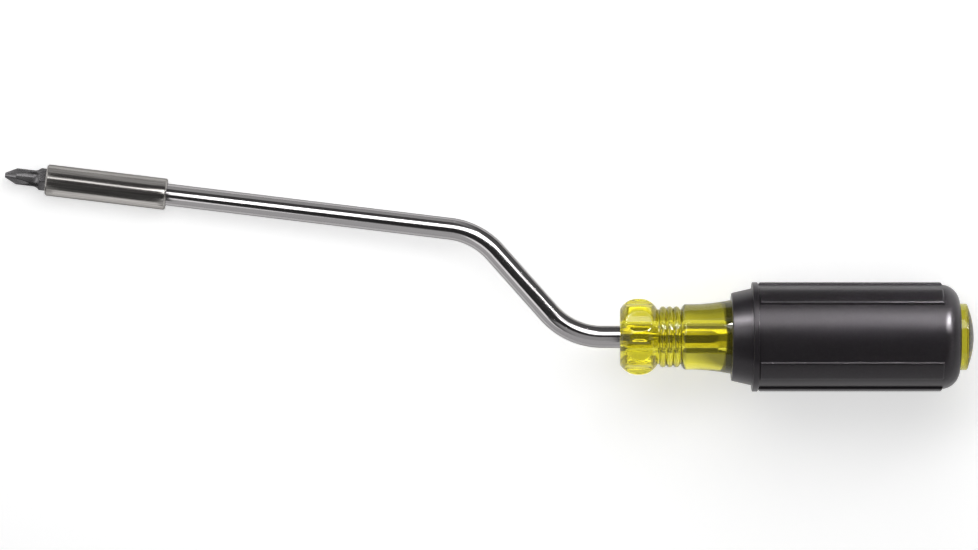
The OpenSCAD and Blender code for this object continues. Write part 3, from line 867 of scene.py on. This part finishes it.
def oiled_spring_steel():
    """Dark oiled steel of the small inner fittings."""
    material, tree, surface = new_finish("oiled_spring_steel", {"Metallic": 1})
    mottle = noise(tree, per_metre=1400, detail=4)
    colour = shade(tree, mottle, dark=(0.26, 0.26, 0.28), light=(0.38, 0.38, 0.4))
    tree.links.new(colour, surface.inputs["Base Color"])
    tree.links.new(spread(tree, mottle, low=0.22, high=0.34), surface.inputs["Roughness"])
    return material


# Stage


def plain_light_share(tree):
    """One for rays that see the background straight, in metal or through clear plastic."""
    seen = node(tree, "LightPath").outputs
    first = node(
        tree, "Math", {0: seen["Is Camera Ray"], 1: seen["Is Glossy Ray"]}, operation="MAXIMUM"
    )
    both = {0: first.outputs[0], 1: seen["Is Transmission Ray"]}
    return node(tree, "Math", both, operation="MAXIMUM").outputs[0]


def pale_floor(stage, level):
    """Wide floor that reads white and keeps the tool's shadow."""
    half_width = 3
    bm = bmesh.new()
    bmesh.ops.create_grid(
        bm, x_segments=1, y_segments=1, size=half_width, matrix=Matrix.Translation((0, 0, level))
    )
    mesh = bpy.data.meshes.new("floor")
    bm.to_mesh(mesh)
    bm.free()
    material, tree, surface = new_finish("pale_floor", {"Roughness": 1, "Specular IOR Level": 0})
    surface.inputs["Base Color"].default_value = (*stage.floor, 1)
    glow = {0: plain_light_share(tree), 1: stage.floor_glow}
    mirrored = node(tree, "Math", glow, operation="MULTIPLY").outputs[0]
    seen = node(tree, "LightPath").outputs["Is Camera Ray"]
    lift = {0: seen, 1: stage.floor_lift, 2: mirrored}
    strength = node(tree, "Math", lift, operation="MULTIPLY_ADD").outputs[0]
    surface.inputs["Emission Color"].default_value = WHITE
    tree.links.new(strength, surface.inputs["Emission Strength"])
    mesh.materials.append(material)
    floor = bpy.data.objects.new("floor", mesh)
    bpy.context.scene.collection.objects.link(floor)


def studio_tent(stage):
    """Pale studio walls, a darker wall behind the soft box and a dark ceiling round the camera."""
    world = bpy.data.worlds.new("studio_tent")
    world.use_nodes = True
    tree = world.node_tree

    def facing(way):
        direction = node(tree, "TexCoord").outputs["Generated"]
        values = {0: direction, 1: way.normalized()}
        return node(tree, "VectorMath", values, operation="DOT_PRODUCT").outputs["Value"]

    def sums(first, second, operation):
        return node(tree, "Math", {0: first, 1: second}, operation=operation).outputs[0]

    seen = node(tree, "LightPath").outputs

    def at_least(level, ray, least):
        return sums(level, sums(seen[ray], least, "MULTIPLY"), "MAXIMUM")

    behind_box = facing(0.8 * HANDLE_AXIS + 0.6 * CRANK_SIDE)
    wall = spread(tree, behind_box, low=stage.tent, high=stage.far_wall, start=0.6, end=0.85)
    wall = at_least(wall, "Is Transmission Ray", stage.clear_wall)
    lean = math.cos(stage.ceiling_lean) * UPPER_SIDE + math.sin(stage.ceiling_lean) * CRANK_SIDE
    wall_share = spread(tree, facing(lean), low=1, high=0, start=0.64, end=0.74)
    level = sums(sums(wall, wall_share, "MULTIPLY"), stage.ceiling, "ADD")
    level = at_least(level, "Is Transmission Ray", stage.clear_ceiling)
    shown = at_least(level, "Is Camera Ray", 1)
    background = tree.nodes["Background"]
    tree.links.new(shown, background.inputs["Strength"])
    background.inputs["Color"].default_value = WHITE
    bpy.context.scene.world = world


def bend_plane_point(along, aside, above):
    """Point given along the handle's axis, on the crank's side and above the bend plane."""
    return HANDLE_FRONT + along * HANDLE_AXIS + aside * CRANK_SIDE + above * UPPER_SIDE


def level_corners(corners, height):
    """Points at one height over the bend plane, from (along, aside) corners in millimetres."""
    return [bend_plane_point(along * MM, aside * MM, height) for along, aside in corners]


def upright_corners(start, end, low, high):
    """Corners of an upright sheet between two (along, aside) places, all in millimetres."""
    foot = level_corners((start, end), low * MM)
    return foot + level_corners((end, start), high * MM)


def front_point(back, aside, above):
    """Point given back from the holder's mouth, on the crank's side and above, in millimetres."""
    away = aside * FRONT_SIDE + above * UPPER_SIDE - back * FRONT_AXIS
    return HOLDER_MOUTH + away * MM


def front_level(corners, above):
    """Points at one height over the front stretch, from (back, aside) corners."""
    return [front_point(back, aside, above) for back, aside in corners]


def front_sheet(corners, aside):
    """Points of an upright sheet beside the front stretch, from (back, above) corners."""
    return [front_point(back, aside, above) for back, above in corners]


def front_upright(start, end, aside, low, high):
    """Corners of an upright sheet beside the front stretch, from one place back to another."""
    return front_sheet([(start, low), (end, low), (end, high), (start, high)], aside)


def facing_corners(target, way, distance, width, tall):
    """Corners of a sheet that faces a target from a distance; the way is in bend plane directions."""
    along, aside, above = way
    out = (along * HANDLE_AXIS + aside * CRANK_SIDE + above * UPPER_SIDE).normalized()
    across = out.cross(UPPER_SIDE).normalized() * width / 2
    rise = across.cross(out).normalized() * tall / 2
    middle = target + distance * out
    return [middle - across - rise, middle + across - rise,
            middle + across + rise, middle - across + rise]


def stage_sheet(name, corners, brightness):
    """Evenly bright sheet that lights the tool and shows in its metal, out of the camera's sight."""
    bm = bmesh.new()
    bmesh.ops.contextual_create(bm, geom=[bm.verts.new(corner) for corner in corners])
    mesh = bpy.data.meshes.new(name)
    bm.to_mesh(mesh)
    bm.free()
    material, tree, surface = new_finish(name, {"Base Color": (0, 0, 0, 1), "Roughness": 1})
    surface.inputs["Emission Color"].default_value = WHITE
    surface.inputs["Emission Strength"].default_value = brightness
    mesh.materials.append(material)
    sheet = bpy.data.objects.new(name, mesh)
    sheet.visible_camera = False
    bpy.context.scene.collection.objects.link(sheet)
    return sheet


def mirror_card(name, corners, brightness):
    """Card that only shows in reflections and casts no shadow."""
    card = stage_sheet(name, corners, brightness)
    card.visible_diffuse = False
    card.visible_transmission = False
    card.visible_shadow = False
    card.active_material.cycles.emission_sampling = "NONE"
    return card


def under_card(name, corners, brightness):
    """Card that only shows through the clear plastic and casts no shadow."""
    card = mirror_card(name, corners, brightness)
    card.visible_glossy = False
    card.visible_transmission = True
    return card


def grade(card, way, first, last, start, end):
    """Grades a card's brightness along a way between two places, in millimetres from the handle."""
    tree = card.active_material.node_tree
    offset = node(
        tree, "VectorMath", {0: node(tree, "TexCoord").outputs["Object"], 1: HANDLE_FRONT},
        operation="SUBTRACT",
    )
    place = node(
        tree, "VectorMath", {0: offset.outputs["Vector"], 1: way}, operation="DOT_PRODUCT"
    )
    level = spread(tree, place.outputs["Value"], first, last, start=start * MM, end=end * MM)
    tree.links.new(level, tree.nodes["Principled BSDF"].inputs["Emission Strength"])


def soft_boxes(stage):
    """Soft boxes and a bright strip round the tool; places are in millimetres."""
    over_tool = [(-143, 47), (-120, 55), (420, 295), (420, 370), (200, 370), (200, 560), (60, 560),
                 (30, 370), (-140, 180), (-143, 180)]
    stage_sheet("key_soft_box", level_corners(over_tool, stage.key_height), stage.key)
    over_front = [(-260, 40), (-143, 47), (-143, 190), (-260, 190)]
    stage_sheet("bit_soft_box", level_corners(over_front, stage.key_height), stage.bit_box)
    beside_crank = [(-406, -230), (-286, -365), (-122, -220), (-242, -85)]
    mirror_card("edge_strip", level_corners(beside_crank, stage.key_height), stage.edge)
    overhead = [(-700, -500), (600, -500), (600, 500), (-700, 500)]
    fill = stage_sheet("fill_box", level_corners(overhead, stage.fill_height), stage.fill)
    fill.visible_glossy = False
    fill.visible_transmission = False

    collar = bend_plane_point(GRIP_AT, 0, 0)
    ahead = facing_corners(
        collar, way=(-0.411, 0.645, 0.645), distance=1250 * MM, width=250 * MM, tall=280 * MM
    )
    mirror_card("front_soft_box", ahead, stage.front_box)
    butt = bend_plane_point(GRIP_END, 0, 0)
    behind = facing_corners(
        butt, way=(0.51, 0.553, 0.659), distance=400 * MM, width=45 * MM, tall=140 * MM
    )
    mirror_card("rear_soft_box", behind, stage.rear_box)


def front_cards(stage):
    """Cards round the bit, its holder and the rod's front stretch; places are in millimetres."""
    sky = 30
    over_sleeve = [(-6, -78), (32, -78), (33, -12), (37, -12), (37, 7), (-6, 7)]
    mirror_card("sleeve_card", front_level(over_sleeve, sky), stage.card)
    over_sleeve_end = [(28, -46), (37.2, -46), (37.2, 4.5), (28, 4.5)]
    mirror_card("sleeve_end_card", front_level(over_sleeve_end, 20), stage.card)
    over_bit = [(-120, -78), (-6, -78), (-6, 7), (-120, 7)]
    bit_sky = mirror_card("bit_sky", front_level(over_bit, sky), stage.bit_sky)
    mouth_at = OFFSET.dot(FRONT_AXIS) / MM
    grade(bit_sky, FRONT_AXIS, first=stage.bit_shade, last=stage.bit_sky,
          start=mouth_at + 20, end=mouth_at + 45)

    beside_bit = front_upright(-30, -6, aside=18.5, low=14, high=40)
    mirror_card("bit_side", beside_bit, stage.bit_side)
    below_sleeve = front_upright(0, 36, aside=-20, low=-14, high=9)
    mirror_card("sleeve_fill", below_sleeve, stage.sleeve_fill)
    above_sleeve = [(-6, 14), (34, 14), (34, 48), (5, 42), (-6, 39)]
    mirror_card("sleeve_shade", front_sheet(above_sleeve, aside=18.5), stage.card)
    beside_sleeve = front_upright(-3, 34, aside=18, low=-14, high=14)
    mirror_card("sleeve_wall", beside_sleeve, stage.rod_card)
    beside_rod = [(34, -14), (127, -14), (127, 8.3), (34, 12.5)]
    mirror_card("rod_card", front_sheet(beside_rod, aside=18), stage.rod_card)
    over_rod = [(34, 12.5), (127, 8.3), (127, 25), (34, 38)]
    mirror_card("rod_shade", front_sheet(over_rod, aside=18), stage.card)
    for name, aside in (("bit_card", 15), ("bit_shade", -15)):
        mirror_card(name, front_upright(-30, -3, aside, low=-14, high=9), stage.card)


def bend_cards(stage):
    """Cards round the bends, the rod's lead and the handle; places are in millimetres."""
    by_bend = upright_corners((-48.3, 51), (-34, 47.5), low=-13, high=13)
    bend_card = mirror_card("bend_card", by_bend, stage.bend_card)
    grade(bend_card, HANDLE_AXIS, first=stage.rod_card, last=stage.bend_card, start=-48.3, end=-36)
    by_bend_top = [(-48.3, 50.7, 8.3), (-34, 47.2, 13), (-48.3, 50.7, 25)]
    bend_shade = [bend_plane_point(a * MM, b * MM, c * MM) for a, b, c in by_bend_top]
    mirror_card("bend_shade", bend_shade, stage.card)
    by_crank = upright_corners((-34, 47.5), (-5, 23), low=-13, high=16)
    mirror_card("crank_card", by_crank, stage.bend_card)
    by_lead = upright_corners((-5, 23), (2, 23), low=-13, high=16)
    mirror_card("lead_wall", by_lead, stage.bend_card)
    over_lead = [(-60, -50), (0, -50), (0, -2), (-22, -2), (-60, -31.7)]
    lead_card = mirror_card("lead_card", level_corners(over_lead, 60 * MM), stage.rod_card)
    grade(lead_card, HANDLE_AXIS, first=stage.card, last=stage.rod_card, start=-50, end=-24)

    by_handle = upright_corners((-5, 45), (112, 45), low=-13, high=26)
    mirror_card("handle_card", by_handle, stage.card)
    over_grip = [(0, -64), (125, -64), (125, -14), (0, -14)]
    mirror_card("grip_card", level_corners(over_grip, 45 * MM), stage.card)
    over_waist = [(14, 14), (28, 14), (28, 70), (14, 70)]
    mirror_card("waist_card", level_corners(over_waist, 60 * MM), stage.butt_card)
    beside_butt = [(112, -40), (190, -40), (190, 40), (112, 40)]
    mirror_card("butt_card", level_corners(beside_butt, -14 * MM), stage.butt_card)


def waist_cards(stage):
    """Cards that show through the clear waist and cap; places are in millimetres."""
    front, rear = 12, 37
    above, below = 40 * MM, -14 * MM

    def waist_level(name, start, end, height, brightness):
        corners = [(front, start), (rear, start), (rear, end), (front, end)]
        return under_card(name, level_corners(corners, height), brightness)

    near_wall = upright_corners((front, 24), (rear, 24), low=-15, high=10.7)
    under_card("waist_near_wall", near_wall, stage.waist_wall)
    waist_level("waist_stripe", 44, 90, above, stage.waist_stripe)
    sheen = waist_level("waist_sheen", 11, 44, above, stage.waist_sheen)
    grade(sheen, HANDLE_AXIS, first=stage.waist_sheen, last=stage.waist_sheen / 2, start=27, end=36)
    waist_level("waist_roof", -48, 11, above, stage.card)
    far_wall = upright_corners((-2, -40), (rear, -40), low=-1.4, high=33.6)
    under_card("waist_far_wall", far_wall, stage.waist_far_wall)
    far_foot = upright_corners((front, -40), (rear, -40), low=-14, high=-1.4)
    under_card("waist_far_foot", far_foot, stage.card)

    waist_level("waist_dark", -60, -10, below, stage.card)
    graded = waist_level("waist_shade", -10, 12, below, stage.waist_shade)
    leaning = CRANK_SIDE - stage.waist_lean * HANDLE_AXIS
    grade(graded, leaning, first=stage.waist_shade, last=stage.waist_glow, start=-2.9, end=-0.7)
    under_cap = [(104, -20), (117, -20), (117, 20), (104, 20)]
    under_card("cap_shade", level_corners(under_cap, below), stage.cap_shade)


def photo_camera(stage):
    """Camera that looks square at the plane of the bends, with the crank's side up."""
    sensor = 36
    camera = bpy.data.cameras.new("camera")
    camera.sensor_width = sensor
    camera.lens = sensor * stage.camera_distance / stage.frame_width
    camera.clip_end = 10
    place = bend_plane_point(stage.aim_along, stage.aim_aside, stage.camera_distance)
    shot = bpy.data.objects.new("camera", camera)
    turn = Matrix((HANDLE_AXIS, CRANK_SIDE, UPPER_SIDE)).transposed()
    shot.matrix_world = Matrix.Translation(place) @ turn.to_4x4()
    bpy.context.scene.collection.objects.link(shot)
    bpy.context.scene.camera = shot


# Operators


class SCREWDRIVER_OT_core(bpy.types.Operator):
    """Add the clear core and the cap at its butt"""

    bl_idname = "screwdriver.core"
    bl_label = "Core and Cap"

    def execute(self, context):
        core = settings_of("screwdriver_core")
        shank = settings_of("screwdriver_shank")
        finish = clear_acetate(core)
        add_piece("clear_core", clear_core(core, shank), HANDLE_SEAT, finish, "handle",
                  "handle_core", sharp=50)
        add_piece("domed_cap", domed_cap(core), HANDLE_SEAT, finish, "handle", "butt_cap")
        return {"FINISHED"}


class SCREWDRIVER_OT_grip(bpy.types.Operator):
    """Add the soft sleeve round the core"""

    bl_idname = "screwdriver.grip"
    bl_label = "Cushion Grip"

    def execute(self, context):
        grip = settings_of("screwdriver_grip")
        sleeve = padded_sleeve(grip, settings_of("screwdriver_core"))
        add_piece("padded_sleeve", sleeve, HANDLE_SEAT, black_elastomer(grip), "handle",
                  "cushion_grip")
        return {"FINISHED"}


class SCREWDRIVER_OT_shank(bpy.types.Operator):
    """Add the bent rod"""

    bl_idname = "screwdriver.shank"
    bl_label = "Bent Shank"

    def execute(self, context):
        shank = settings_of("screwdriver_shank")
        add_piece("bent_rod", bent_rod(shank), HANDLE_SEAT, bright_plate(shank), "shank",
                  "bent_shank")
        return {"FINISHED"}


class SCREWDRIVER_OT_holder(bpy.types.Operator):
    """Add the sleeve that takes the bit"""

    bl_idname = "screwdriver.holder"
    bl_label = "Bit Holder"

    def execute(self, context):
        holder = settings_of("screwdriver_holder")
        sleeve = socket_sleeve(holder, settings_of("screwdriver_shank"))
        add_piece("socket_sleeve", sleeve, HOLDER_SEAT, brushed_sleeve(holder), "shank",
                  "bit_holder")
        return {"FINISHED"}


class SCREWDRIVER_OT_bit(bpy.types.Operator):
    """Add the reversible bit"""

    bl_idname = "screwdriver.bit"
    bl_label = "Reversible Bit"

    def execute(self, context):
        bit = settings_of("screwdriver_bit")
        bit_len = bit.blade_len + bit.hex_len + bit.cross_len
        place = seat(BIT_POINT - bit_len * FRONT_AXIS, FRONT_SIDE, FRONT_AXIS)
        shape = milled_bit(bit, settings_of("screwdriver_holder"))
        add_piece("milled_bit", shape, place, grey_phosphate(bit), "bit",
                  "reversible_bit", sharp=28)
        return {"FINISHED"}


class SCREWDRIVER_OT_fittings(bpy.types.Operator):
    """Finish the washer, disc, retaining ring and clip that stay as they are in the frame"""

    bl_idname = "screwdriver.fittings"
    bl_label = "Inner Fittings"

    def execute(self, context):
        finish = oiled_spring_steel()
        for name in ("thrust_washer", "thrust_disc", "retaining_ring", "bit_clip"):
            mesh = frame["nodes"][name].data
            mesh.materials.clear()
            mesh.materials.append(finish)
        return {"FINISHED"}


class SCREWDRIVER_OT_stage(bpy.types.Operator):
    """Add the floor, the light and the camera"""

    bl_idname = "screwdriver.stage"
    bl_label = "Stage"

    def execute(self, context):
        stage = settings_of("screwdriver_stage")
        context.scene.view_settings.view_transform = "Standard"
        context.scene.cycles.glossy_bounces = stage.bounces
        context.scene.cycles.max_bounces = 2 * stage.bounces
        pale_floor(stage, CAD_BOX[0][2])
        studio_tent(stage)
        soft_boxes(stage)
        front_cards(stage)
        bend_cards(stage)
        waist_cards(stage)
        photo_camera(stage)
        return {"FINISHED"}


OPERATORS = (
    SCREWDRIVER_OT_core,
    SCREWDRIVER_OT_grip,
    SCREWDRIVER_OT_shank,
    SCREWDRIVER_OT_holder,
    SCREWDRIVER_OT_bit,
    SCREWDRIVER_OT_fittings,
    SCREWDRIVER_OT_stage,
)
SETTINGS = {
    "screwdriver_core": CoreSettings,
    "screwdriver_grip": GripSettings,
    "screwdriver_shank": ShankSettings,
    "screwdriver_holder": HolderSettings,
    "screwdriver_bit": BitSettings,
    "screwdriver_stage": StageSettings,
}


class SCREWDRIVER_PT_build(bpy.types.Panel):
    """Steps that build the screwdriver, in order"""

    bl_idname = "SCREWDRIVER_PT_build"
    bl_label = "Bent-shank Screwdriver"
    bl_space_type = "VIEW_3D"
    bl_region_type = "UI"
    bl_category = "Screwdriver"

    def draw(self, context):
        for operator in OPERATORS:
            self.layout.operator(operator.bl_idname)
        for group, kind in SETTINGS.items():
            box = self.layout.box()
            for name in kind.__annotations__:
                box.prop(getattr(context.scene, group), name)


def register():
    """Registers the settings, the operators and the panel."""
    for group, kind in SETTINGS.items():
        bpy.utils.register_class(kind)
        setattr(bpy.types.Scene, group, PointerProperty(type=kind))
    for kind in (*OPERATORS, SCREWDRIVER_PT_build):
        bpy.utils.register_class(kind)


def unregister():
    """Takes the panel, the operators and the settings out again."""
    for kind in (SCREWDRIVER_PT_build, *reversed(OPERATORS)):
        bpy.utils.unregister_class(kind)
    for group, kind in SETTINGS.items():
        delattr(bpy.types.Scene, group)
        bpy.utils.unregister_class(kind)


def main():
    """Builds the tool and its stage."""
    register()
    bpy.ops.screwdriver.core()
    bpy.ops.screwdriver.grip()
    bpy.ops.screwdriver.shank()
    bpy.ops.screwdriver.holder()
    bpy.ops.screwdriver.bit()
    bpy.ops.screwdriver.fittings()
    bpy.ops.screwdriver.stage()


if __name__ == "__main__":
    main()
